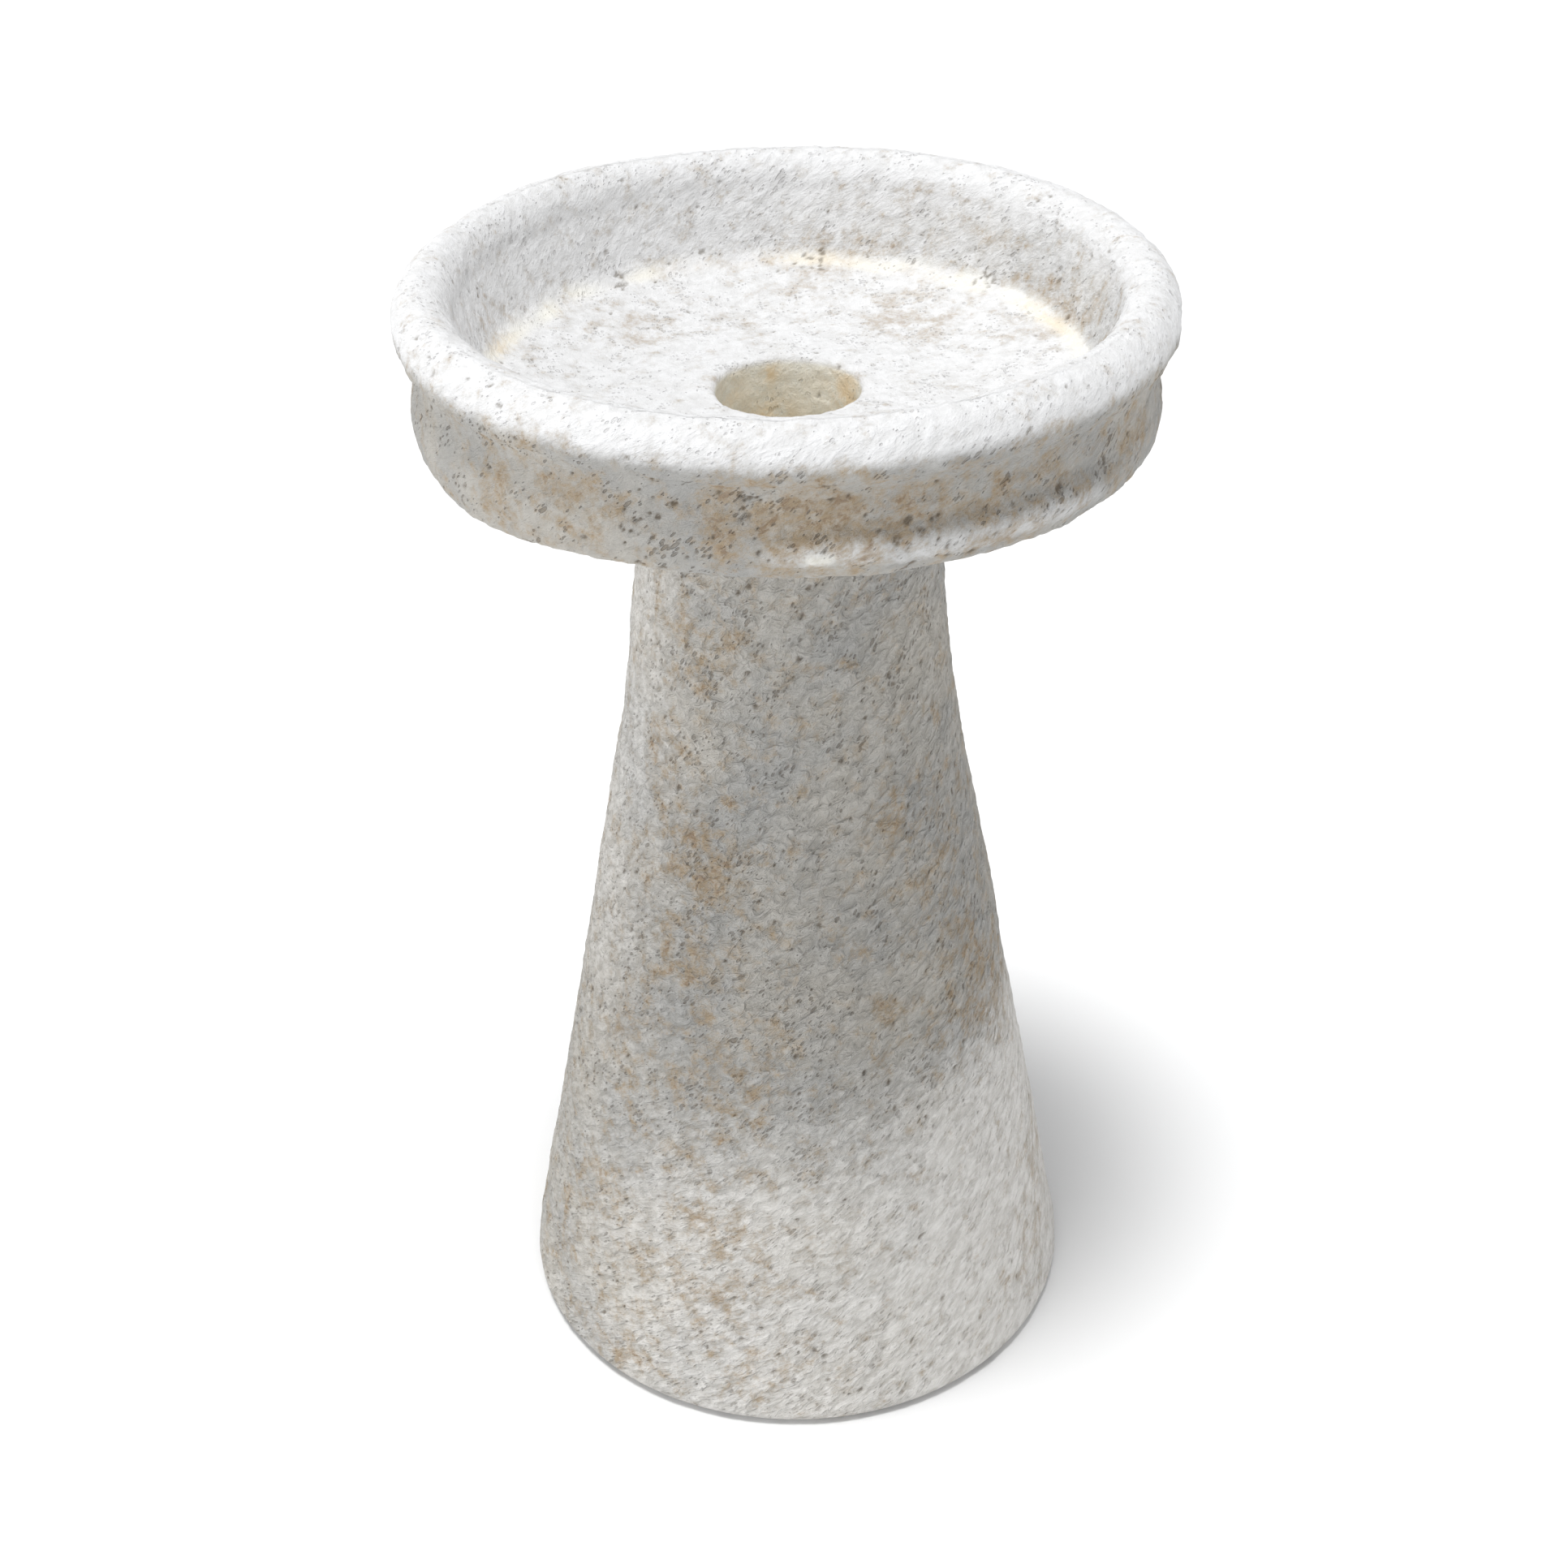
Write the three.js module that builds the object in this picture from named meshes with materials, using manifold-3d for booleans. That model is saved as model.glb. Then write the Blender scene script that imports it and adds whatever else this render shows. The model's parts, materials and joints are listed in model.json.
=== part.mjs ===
// A two-piece cast stone bird bath: a round basin with a rolled rim and a centre well, lifted on and off a
// hollow tapered pedestal. Under the basin the wall of the well goes on down as a boss, which sits in the
// pedestal's neck and centres the basin. A rubber ring lies between the two castings, four rubber pads keep
// the pedestal off the ground, and a rubber stopper with a pull ring closes the drain in the well's floor.
// Millimetres, +Z up. The origin is on the ground, on the axis of the pedestal.
import * as THREE from "three";
import { mergeVertices } from "three/addons/utils/BufferGeometryUtils.js";
import Module from "manifold-3d";

const wasm = await Module();
wasm.setup();

// Driving dimensions
const RIM_RADIUS = 200; // outside of the rolled rim
const TOTAL_HEIGHT = 658;
const BASE_RADIUS = 169.5;
const NECK_RADIUS = 80; // top of the pedestal
const WELL_RADIUS = 38;
const WELL_DEPTH = 60;
const BASIN_HEIGHT = 81; // rim to underside, without the boss
const BASIN_FLOOR = 17; // thickness of the basin's floor
const PEDESTAL_WALL = 25;
const PAD_THICKNESS = 3;
const GASKET_THICKNESS = 3;
const GAP = 0.3; // left between pieces that touch

// Rolled rim, an ellipse in section
const ROLL_WIDTH = 31;
const ROLL_HEIGHT = 34;
const ROLL_CENTRE = RIM_RADIUS - ROLL_WIDTH / 2;
const ROLL_LEVEL = TOTAL_HEIGHT - ROLL_HEIGHT / 2;

// Levels above the ground
const WALL_TOP = ROLL_LEVEL - ROLL_HEIGHT * 0.72; // the outer wall curves into the roll above this
const UNDERSIDE = TOTAL_HEIGHT - BASIN_HEIGHT;
const FLOOR = UNDERSIDE + BASIN_FLOOR;
const WELL_FLOOR = FLOOR - WELL_DEPTH;
const BOSS_BOTTOM = WELL_FLOOR - 18;
const NECK_TOP = UNDERSIDE - GASKET_THICKNESS - GAP;
const PEDESTAL_BOTTOM = PAD_THICKNESS + GAP;

// Basin
const WALL_TOP_RADIUS = 190;
const WALL_FOOT_RADIUS = 193;
const WALL_FOOT = UNDERSIDE + 18; // the wall leans in below this
const LEAN = 2.5;
const LOWER_EDGE = 5; // rounding between wall and underside
const INSIDE_RADIUS = 156; // where the inner wall would meet the floor in a corner
const FLAT_RADIUS = 108; // the floor is flat inside this and rises outside it
const FLOOR_SLOPE = 0.235;
const FLOOR_BEND = 20; // how far from there the floor starts to rise
const FLOOR_FILLET = 9;
const WELL_EDGE = 2.5; // rounding of the well's mouth
const WELL_FILLET = 4;
const BOSS_RADIUS = 52;
const BOSS_FILLET = 6;
const BOSS_CHAMFER = 3;
const DRAIN_TOP_RADIUS = 11.5;
const DRAIN_FOOT_RADIUS = 9.5;

// Pedestal: a straight cone up to here, which then turns upright towards the neck
const CONE_TOP = { level: 375, radius: 99 };
const INSIDE_TOP = { level: 383, radius: 74 };
const SOCKET_RADIUS = NECK_RADIUS - PEDESTAL_WALL;
const BASE_EDGE = 6; // height of the rounded lower edge
const NECK_EDGE = 2;
const TURN = 0.45; // how far up the neck the cone would run before turning upright

// Rubber pads under the pedestal
const PAD_RADIUS = 10;
const PAD_CIRCLE = 155;
const PAD_PLACES = ["back_right", "back_left", "front_left", "front_right"];

// Drain stopper and its pull ring
const FLANGE_RADIUS = 20;
const FLANGE_THICKNESS = 4;
const FLANGE_FOOT = WELL_FLOOR + GAP;
const FLANGE_TOP = FLANGE_FOOT + FLANGE_THICKNESS;
const FLANGE_EDGE = 1.5;
const STOPPER_FOOT = BOSS_BOTTOM + 5;
const PLUG_CHAMFER = 1;
const PIN_RADIUS = 1.5;
const PIN_HOLE = PIN_RADIUS + GAP;
const PIN_HEAD = { radius: 2.8, thickness: 1.2 };
const WASHER = { radius: 5.5, thickness: 1.2 };
const EYE = { radius: 3.4, wire: 1.0 };
const EYE_LEVEL = FLANGE_TOP + GAP + EYE.wire + EYE.radius;
const RING = { radius: 11, wire: 1.1 };
const RING_DROOP = THREE.MathUtils.degToRad(8); // its far side lies on the flange

const SIDES = 48; // of the large turned pieces
const SMALL_SIDES = 36;
const PAD_SIDES = 24;
const WIRE_SIDES = 10;

const stone = new THREE.MeshStandardMaterial({ name: "cast_stone", color: 0xd9d4ca, roughness: 0.95 });
const rubber = new THREE.MeshStandardMaterial({ name: "rubber", color: 0x2b2b2b, roughness: 0.8 });
const steel = new THREE.MeshStandardMaterial({ name: "steel", color: 0xb9bcc0, roughness: 0.3, metalness: 1 });

const point = (radius, level) => new THREE.Vector2(radius, level);

// Points on an elliptical arc of the section, with its angles in degrees from the outward direction.
function arc(radius, level, a, b, from, to, steps) {
  const [start, end] = [from, to].map(THREE.MathUtils.degToRad);
  return new THREE.EllipseCurve(radius, level, a, b, start, end, to < from).getPoints(steps);
}

function corner(radius, level, size, from, to, steps) {
  return arc(radius, level, size, size, from, to, steps);
}

function bend(start, control, end, steps) {
  return new THREE.QuadraticBezierCurve(start, control, end).getPoints(steps);
}

// Turns a section, drawn anticlockwise to the right of the axis, into a solid standing along Z.
function turned(section, sides) {
  return new THREE.LatheGeometry([...section, section[0].clone()], sides).rotateX(Math.PI / 2);
}

// The section of a flat ring.
function washerSection(inner, outer, bottom, top) {
  return [point(inner, bottom), point(outer, bottom), point(outer, top), point(inner, top)];
}

function named(name, geometry, material) {
  const mesh = new THREE.Mesh(geometry, material);
  mesh.name = name;
  return mesh;
}

function toManifold(geometry) {
  const bare = geometry.clone();
  bare.deleteAttribute("normal");
  bare.deleteAttribute("uv");
  const merged = mergeVertices(bare, 1e-4);
  const vertProperties = merged.attributes.position.array;
  const triVerts = new Uint32Array(merged.index.array);
  return new wasm.Manifold(new wasm.Mesh({ numProp: 3, vertProperties, triVerts }));
}

function joined(a, b) {
  const mesh = toManifold(a).add(toManifold(b)).getMesh();
  return new THREE.BufferGeometry()
    .setAttribute("position", new THREE.BufferAttribute(mesh.vertProperties, 3))
    .setIndex(new THREE.BufferAttribute(mesh.triVerts, 1));
}

function basin() {
  const roll = arc(ROLL_CENTRE, ROLL_LEVEL, ROLL_WIDTH / 2, ROLL_HEIGHT / 2, -30, 185, 18);
  const outsideTop = point(WALL_TOP_RADIUS, WALL_TOP);
  const halfway = (WALL_TOP + ROLL_LEVEL) / 2;
  const outsideBend = bend(outsideTop, point(WALL_TOP_RADIUS, halfway), roll[0], 5);
  const risen = (radius) => point(radius, FLOOR + (radius - FLAT_RADIUS) * FLOOR_SLOPE);
  const insideFoot = risen(INSIDE_RADIUS);
  const filletTop = insideFoot.clone().lerp(roll.at(-1), 0.25);
  const filletFoot = risen(INSIDE_RADIUS - FLOOR_FILLET);
  const section = [
    point(DRAIN_FOOT_RADIUS, BOSS_BOTTOM),
    point(BOSS_RADIUS - BOSS_CHAMFER, BOSS_BOTTOM),
    point(BOSS_RADIUS, BOSS_BOTTOM + BOSS_CHAMFER),
    ...corner(BOSS_RADIUS + BOSS_FILLET, UNDERSIDE - BOSS_FILLET, BOSS_FILLET, 180, 90, 4),
    ...corner(WALL_FOOT_RADIUS - LEAN - LOWER_EDGE, UNDERSIDE + LOWER_EDGE, LOWER_EDGE, -90, 0, 5),
    point(WALL_FOOT_RADIUS, WALL_FOOT),
    ...outsideBend,
    ...roll.slice(1),
    ...bend(filletTop, insideFoot, filletFoot, 6),
    ...bend(filletFoot, risen(FLAT_RADIUS), point(FLAT_RADIUS - FLOOR_BEND, FLOOR), 4).slice(1),
    ...corner(WELL_RADIUS + WELL_EDGE, FLOOR - WELL_EDGE, WELL_EDGE, 90, 180, 4),
    ...corner(WELL_RADIUS - WELL_FILLET, WELL_FLOOR + WELL_FILLET, WELL_FILLET, 0, -90, 3),
    point(DRAIN_TOP_RADIUS, WELL_FLOOR),
  ];
  return named("basin", turned(section, SIDES), stone);
}

function pedestal() {
  const slope = (BASE_RADIUS - CONE_TOP.radius) / (CONE_TOP.level - PEDESTAL_BOTTOM);
  const coneTop = point(CONE_TOP.radius, CONE_TOP.level);
  const coneFoot = point(BASE_RADIUS - slope * BASE_EDGE, PEDESTAL_BOTTOM + BASE_EDGE);
  const edgeFoot = point(BASE_RADIUS - BASE_EDGE / 2, PEDESTAL_BOTTOM);
  const turnRise = (NECK_TOP - CONE_TOP.level) * TURN;
  const outsideTurn = point(CONE_TOP.radius - slope * turnRise, CONE_TOP.level + turnRise);
  const insideTop = point(INSIDE_TOP.radius, INSIDE_TOP.level);
  const insideTurn = point(SOCKET_RADIUS + 3, INSIDE_TOP.level + (NECK_TOP - INSIDE_TOP.level) * TURN);
  const section = [
    point(BASE_RADIUS - PEDESTAL_WALL, PEDESTAL_BOTTOM),
    ...bend(edgeFoot, point(BASE_RADIUS, PEDESTAL_BOTTOM), coneFoot, 4),
    ...bend(coneTop, outsideTurn, point(NECK_RADIUS, NECK_TOP - NECK_EDGE), 8),
    point(NECK_RADIUS - NECK_EDGE, NECK_TOP),
    point(SOCKET_RADIUS + NECK_EDGE, NECK_TOP),
    ...bend(point(SOCKET_RADIUS, NECK_TOP - NECK_EDGE), insideTurn, insideTop, 6),
  ];
  return named("pedestal", turned(section, SIDES), stone);
}

// A flat ring on the pedestal's top, under the basin.
function seatGasket() {
  const inner = BOSS_RADIUS + BOSS_FILLET + 1;
  const outer = NECK_RADIUS - 2 * NECK_EDGE;
  const section = washerSection(inner, outer, NECK_TOP + GAP, UNDERSIDE - GAP);
  return named("seat_gasket", turned(section, SIDES), rubber);
}

function footPads() {
  return PAD_PLACES.map((place, i) => {
    const angle = ((i + 0.5) / PAD_PLACES.length) * 2 * Math.PI;
    const disc = new THREE.CylinderGeometry(PAD_RADIUS, PAD_RADIUS, PAD_THICKNESS, PAD_SIDES);
    const pad = named(`foot_pad_${place}`, disc.rotateX(Math.PI / 2), rubber);
    pad.position.set(PAD_CIRCLE * Math.cos(angle), PAD_CIRCLE * Math.sin(angle), PAD_THICKNESS / 2);
    return pad;
  });
}

// A flanged, tapered plug with a hole for the pin of its pull ring.
function drainStopper() {
  const taper = (DRAIN_TOP_RADIUS - DRAIN_FOOT_RADIUS) / (WELL_FLOOR - BOSS_BOTTOM);
  const plugRadius = DRAIN_FOOT_RADIUS - GAP + taper * (STOPPER_FOOT - BOSS_BOTTOM);
  const section = [
    point(PIN_HOLE, STOPPER_FOOT),
    point(plugRadius - PLUG_CHAMFER, STOPPER_FOOT),
    point(plugRadius, STOPPER_FOOT + PLUG_CHAMFER),
    point(DRAIN_TOP_RADIUS - GAP, FLANGE_FOOT),
    point(FLANGE_RADIUS, FLANGE_FOOT),
    ...corner(FLANGE_RADIUS - FLANGE_EDGE, FLANGE_TOP - FLANGE_EDGE, FLANGE_EDGE, 0, 90, 3),
    point(PIN_HOLE, FLANGE_TOP),
  ];
  return named("drain_stopper", turned(section, SMALL_SIDES), rubber);
}

// The pin that holds the pull ring: a riveted head, a stem through the stopper and an upright eye.
function stopperEyePin() {
  const headTop = STOPPER_FOOT - 2 * GAP - WASHER.thickness;
  const headBottom = headTop - PIN_HEAD.thickness;
  const stemTop = EYE_LEVEL - EYE.radius;
  const section = [
    point(0, headBottom),
    point(PIN_HEAD.radius, headBottom),
    point(PIN_HEAD.radius, headTop),
    point(PIN_RADIUS, headTop),
    point(PIN_RADIUS, stemTop),
    point(0, stemTop),
  ];
  const stem = new THREE.LatheGeometry(section, SMALL_SIDES / 3).rotateX(Math.PI / 2);
  const eye = new THREE.TorusGeometry(EYE.radius, EYE.wire, WIRE_SIDES, SMALL_SIDES);
  eye.rotateY(Math.PI / 2).translate(0, 0, EYE_LEVEL);
  return named("stopper_eye_pin", joined(stem, eye), steel);
}

function stopperWasher() {
  const top = STOPPER_FOOT - GAP;
  const section = washerSection(PIN_HOLE, WASHER.radius, top - WASHER.thickness, top);
  return named("stopper_washer", turned(section, SMALL_SIDES), steel);
}

// The pull ring hangs in the eye and swings about the wire that passes through it.
function stopperPullRing() {
  const loop = new THREE.TorusGeometry(RING.radius, RING.wire, WIRE_SIDES, SMALL_SIDES);
  const ring = named("stopper_pull_ring", loop.translate(0, -RING.radius, 0), steel);
  ring.position.z = EYE_LEVEL;
  ring.rotation.x = RING_DROOP;
  return ring;
}

const birdBath = new THREE.Group();
birdBath.add(
  pedestal(),
  ...footPads(),
  seatGasket(),
  basin(),
  drainStopper(),
  stopperEyePin(),
  stopperWasher(),
  stopperPullRing(),
);

export default birdBath;
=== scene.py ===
"""The looks of a weathered, white-washed cast stone bird bath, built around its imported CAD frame.

Metres, +Z up. The castings, the gasket, the stopper and its washer start from the outlines that
their CAD solids have in the vertical half plane x = 0, y < 0. These are softened and turned into
fine meshes, and a relief wears the castings. The pin, the ring and the pads take their sizes from
their CAD boxes.
"""

import itertools
import json
import math

import bmesh
import bpy
import numpy as np
from mathutils import Matrix, Vector, kdtree


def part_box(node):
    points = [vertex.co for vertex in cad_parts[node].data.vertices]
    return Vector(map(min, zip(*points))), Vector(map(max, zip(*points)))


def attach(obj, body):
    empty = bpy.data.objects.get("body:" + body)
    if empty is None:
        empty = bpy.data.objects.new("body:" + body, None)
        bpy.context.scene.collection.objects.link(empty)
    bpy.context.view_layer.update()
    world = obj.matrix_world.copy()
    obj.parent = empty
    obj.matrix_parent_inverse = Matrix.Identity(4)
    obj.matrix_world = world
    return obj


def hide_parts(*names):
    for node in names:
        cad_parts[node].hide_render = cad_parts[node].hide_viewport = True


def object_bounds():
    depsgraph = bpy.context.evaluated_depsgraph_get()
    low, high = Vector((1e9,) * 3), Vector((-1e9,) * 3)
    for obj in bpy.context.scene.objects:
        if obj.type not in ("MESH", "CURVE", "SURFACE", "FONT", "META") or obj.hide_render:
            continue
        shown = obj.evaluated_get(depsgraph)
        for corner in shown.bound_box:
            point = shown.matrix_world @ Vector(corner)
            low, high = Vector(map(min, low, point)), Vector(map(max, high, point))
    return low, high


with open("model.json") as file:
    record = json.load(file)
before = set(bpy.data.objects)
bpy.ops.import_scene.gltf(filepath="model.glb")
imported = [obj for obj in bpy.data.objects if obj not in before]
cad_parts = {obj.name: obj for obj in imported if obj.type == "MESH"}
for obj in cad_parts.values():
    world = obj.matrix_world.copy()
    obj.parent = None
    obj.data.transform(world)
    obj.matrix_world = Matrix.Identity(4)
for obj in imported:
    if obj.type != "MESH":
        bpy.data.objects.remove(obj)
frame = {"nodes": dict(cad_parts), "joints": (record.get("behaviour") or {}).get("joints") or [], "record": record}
cad_low, cad_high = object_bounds()

MM = 0.001
RANDOM_SEED = 11

# Places that the looks refer to, taken from the frame
RECORD = frame["record"]
BODY_OF = {node: body for body, nodes in RECORD["behaviour"]["bodies"].items() for node in nodes}
JOINTS = {joint["name"]: joint for joint in frame["joints"]}
RIM_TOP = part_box("basin")[1].z
FLOOR = next(mount["pos_m"][2] for mount in RECORD["mounts"] if mount["name"] == "basin_floor")
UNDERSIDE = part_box("seat_gasket")[1].z
SEAT_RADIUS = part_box("seat_gasket")[1].x
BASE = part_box("pedestal")[0].z
NECK_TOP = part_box("pedestal")[1].z
RIM_CREST = 184.5 * MM  # radius at which the rim is highest
WELL = 40 * MM  # radius that holds the whole of the well's wall
HIDDEN_FROM = 42 * MM  # radius from which the basin's underside and boss are out of sight
EYE = Vector(JOINTS["pull_ring_swing"]["pos_m"])
EYE_WIRE, RING_WIRE = 1.0 * MM, 1.1 * MM  # half the thickness of the wire
PIN_RADIUS, PIN_HEAD = 1.5 * MM, 1.2 * MM

# The photograph's view of the object
CAMERA_PLACE = Vector((0.0, -1.116, 1.0605))
CAMERA_DOWN = math.radians(32.58)
CAMERA_YAW = math.radians(0.235)
CAMERA_ROLL = math.radians(-0.77)
CAMERA_LENS, CAMERA_SENSOR = 52.65, 36  # mm

# Meshes
TOUCHING = 0.001 * MM  # points this close are one
NEAR_PLANE = 0.01 * MM  # how close a CAD vertex lies to the half plane that it belongs to
STONE_STEP = 1.7 * MM
STONE_COLUMNS = 768
FEWEST_COLUMNS = 20
HIDDEN_THINNING = 4  # how many times coarser the hidden faces are
GASKET_STEP, GASKET_COLUMNS = 0.5 * MM, 320
PLUG_STEP, PLUG_COLUMNS = 0.35 * MM, 160
PAD_STEP, PAD_COLUMNS = 0.25 * MM, 80
STEEL_STEP = 0.15 * MM
WASHER_COLUMNS, STEM_COLUMNS, LOOP_COLUMNS, RING_COLUMNS = 96, 64, 96, 160
WIRE_SIDES = 24

# Relief: how far the hand-finished surface strays from the turned one, and over what distance
WAVE_HEIGHT, WAVE_LENGTH = 1.2 * MM, 95 * MM
DENT_HEIGHT, DENT_LENGTH = 0.6 * MM, 24 * MM
GRAIN_HEIGHT, GRAIN_LENGTH = 0.42 * MM, 8 * MM
PIT_DEPTH = 0.9 * MM
PIT_SIZES = 1.0 * MM, 2.2 * MM  # the smallest and the largest radius
PIT_STRETCH = 1.5  # how much longer a pit is than wide
BASIN_PITS, PEDESTAL_PITS = 380, 520
PORE_SPACINGS = 3.4 * MM, 2.1 * MM  # pores are in the material only
RIM_TILT = 4.5 * MM  # how much the rim rises at the back and sinks at the front

# How far the drag marks on each casting lean over: radians round the axis for each metre of height
BASIN_SLANT = 4.5
PEDESTAL_SLANT = 6.0

# The basin's zones. A pair holds where a soft border begins and ends.
# The outer wall's zone reaches up the underside of the rim's roll, where its darker, unwashed colour is painted
# shade under the roll.
WALL_RADIUS, WALL_TOP = (184 * MM, 189 * MM), (630 * MM, 652 * MM)
INNER_WALL_FOOT, INNER_WALL_RADIUS = (606 * MM, 610 * MM), (166 * MM, 174 * MM)
FLOOR_EDGE, FLOOR_EDGE_WIDTH, FLOOR_EDGE_TOP = 152 * MM, 4 * MM, 612 * MM
LIP_HEIGHT, LIP_START, LIP_END = 604 * MM, (-9, 4), (42, 62)  # its ends are azimuths in degrees
LIP_GROOVE, LIP_FLARE = 1.6 * MM, 3.0 * MM

# The painted light on the pedestal's lower part, below the basin's shadow: where it ends, and how much that height
# rises to the right
PAINTED_LIGHT_TOP, PAINTED_LIGHT_RISE = (130 * MM, 280 * MM), 0.17

# Spots: azimuth in degrees from the front, positive to the viewer's right, then radius, height and
# size in mm, and strength. The strength of a bulge is its height in mm.
BASIN_STAINS = (
    (-1, 190, 614, 30, 0.9), (-4, 192, 602, 16, 1.0), (9, 191, 604, 20, 0.9),
    (16, 190, 612, 24, 0.8), (-12, 190, 612, 12, 0.9), (-28, 190, 608, 26, 0.6),
    (-43, 191, 604, 32, 0.7), (34, 190, 606, 34, 0.8), (58, 190, 606, 30, 0.6),
    (149, 120, 596, 26, 0.65), (175, 143, 600, 30, 0.9), (148, 100, 594, 16, 0.7),
    (132, 110, 594, 22, 0.7), (112, 152, 602, 26, 1.0), (-132, 114, 596, 26, 1.0),
    (-100, 156, 603, 20, 0.9), (-160, 90, 594, 18, 0.8), (90, 76, 594, 18, 0.5),
    (105, 190, 602, 30, 0.6), (150, 190, 606, 34, 0.7), (-155, 190, 604, 34, 0.8),
    (-105, 190, 606, 30, 0.6), (-166, 38, 585, 5, 1.1), (122, 38, 580, 13, 1.1),
    (-164, 38, 556, 16, 1.0), (-125, 38, 580, 10, 0.6), (60, 38, 575, 14, 0.7),
)
PEDESTAL_STAINS = (
    (-33, 86, 480, 30, 0.8), (-50, 92, 415, 20, 0.7), (-32, 101, 360, 30, 0.7),
    (-24, 106, 338, 18, 0.7), (34, 98, 378, 15, 1.0), (26, 120, 264, 13, 1.0),
    (-30, 114, 290, 34, 0.6), (-50, 129, 215, 22, 0.6), (-16, 129, 220, 28, 0.6),
    (50, 110, 330, 40, 0.5), (58, 123, 250, 34, 0.5), (-51, 148, 115, 26, 0.6),
    (-19, 144, 138, 30, 0.55), (-19, 153, 90, 36, 0.65), (-6, 163, 40, 22, 0.8),
    (-40, 165, 28, 24, 0.7), (65, 160, 50, 24, 0.8), (140, 110, 330, 50, 0.6),
    (-130, 140, 160, 50, 0.6), (175, 85, 500, 40, 0.7), (-165, 105, 340, 34, 0.7),
    (160, 150, 110, 40, 0.7), (-105, 95, 400, 30, 0.6), (110, 150, 120, 40, 0.6),
    (-170, 160, 50, 30, 0.7), (76, 155, 90, 36, 0.7), (72, 126, 230, 40, 0.6),
    (-66, 158, 75, 20, 0.5),
)
# One painted highlight: a glossy cream patch drawn out along the lip
PAINTED_GLINT = tuple((azimuth, 195, 590.5, 2.6, 1.0) for azimuth in (2.6, 3.5, 4.4, 5.3))
BULGES = (
    (-50, 190, 584, 45, 3.0), (-75, 190, 590, 40, 1.5), (82, 196, 626, 18, -3.0),
)
PIT_CLUSTERS = (
    (-20, 190, 608, 12, 0.5), (-20, 191, 586, 7, 0.6), (-12, 192, 590, 7, 0.6),
    (-6, 190, 615, 7, 0.6), (15, 192, 601, 8, 0.12), (22, 192, 600, 8, 0.08),
    (-142, 156, 603, 6, 3.0), (174, 152, 603, 7, 3.0), (134, 156, 604, 6, 3.0),
    (17, 162, 42, 3, 5.0),
)

# Colours of the stone, from the casting itself to the dirt on top, and of the painted light and shade
COOL_BODY, WARM_BODY = (0.46, 0.455, 0.44, 1), (0.56, 0.535, 0.49, 1)
OCHRE, RUST = (0.47, 0.37, 0.255, 1), (0.25, 0.165, 0.10, 1)
# Whites of the whitewash, which also paint light on the flare and the pedestal
BASIN_WASH_AND_LIGHT, PEDESTAL_WASH_AND_LIGHT = (0.84, 0.84, 0.845, 1), (0.82, 0.80, 0.77, 1)
# Painted shade for the whitewash in the hollows of the relief
HOLLOW_SHADE = (0.72, 0.71, 0.69, 1)
# Cream for painted highlights and painted light, gold for stains painted as lit
PAINTED_LIGHT_CREAM, LIT_OCHRE = (0.95, 0.93, 0.84, 1), (0.90, 0.70, 0.44, 1)
# Dirt, and the painted shade in the lip's groove
DIRT_AND_GROOVE_SHADE = (0.16, 0.13, 0.095, 1)

# Other colours
RUBBER, RUBBER_DUST = (0.018, 0.018, 0.019, 1), (0.085, 0.080, 0.072, 1)
STEEL, STEEL_TARNISH = (0.62, 0.62, 0.61, 1), (0.38, 0.35, 0.31, 1)
PALE_FLOOR = (0.93, 0.93, 0.93, 1)
FLOOR_SIZE = 40  # metres across

# Light: the room's colour and strength, then direction, strength and angle across of each sun
ROOM_COLOUR, ROOM_STRENGTH = (0.98, 0.99, 1.0, 1), 0.54
OVERHEAD = (0.08, 0.12, -1.0), 0.62, 14
LEFT_WINDOW = (1.0, 0.40, -0.15), 0.44, 60

random = np.random.default_rng(RANDOM_SEED)
SHUFFLE = random.permutation(256)
GRADIENTS = random.normal(size=(256, 3))
GRADIENTS /= np.linalg.norm(GRADIENTS, axis=1, keepdims=True)


# ---------------------------------------------------------------- noise and pits


def noise(points, length, layer=0):
    """Smooth gradient noise from about -1 to 1, with lumps about length across."""
    scaled = points / length + 37.7 * layer
    cell = np.floor(scaled).astype(int)
    inside = scaled - cell
    fade = inside**3 * (inside * (inside * 6 - 15) + 10)
    total = np.zeros(len(points))
    for corner in itertools.product((0, 1), repeat=3):
        x, y, z = ((cell + corner) & 255).T
        gradient = GRADIENTS[SHUFFLE[(SHUFFLE[(SHUFFLE[x] + y) & 255] + z) & 255]]
        weight = np.prod(np.where(corner, fade, 1 - fade), axis=1)
        total += weight * ((inside - corner) * gradient).sum(1)
    return 1.7 * total


def smoothstep(values, low, high):
    """A smooth rise from 0 at low to 1 at high."""
    t = np.clip((values - low) / (high - low), 0, 1)
    return t * t * (3 - 2 * t)


def drag_direction(point, slant):
    """The direction in which the surface was rubbed: up and round the axis."""
    direction = np.array([-point[1] * slant, point[0] * slant, 1.0])
    return direction / np.linalg.norm(direction)


def side(points):
    """1 on the outside of the bath and -1 inside the dish, where the marks lean the other way."""
    radius = np.hypot(points[:, 0], points[:, 1])
    inside = (radius < RIM_CREST) & (points[:, 2] > UNDERSIDE)
    return np.where(inside | (radius < WELL), -1.0, 1.0)


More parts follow.
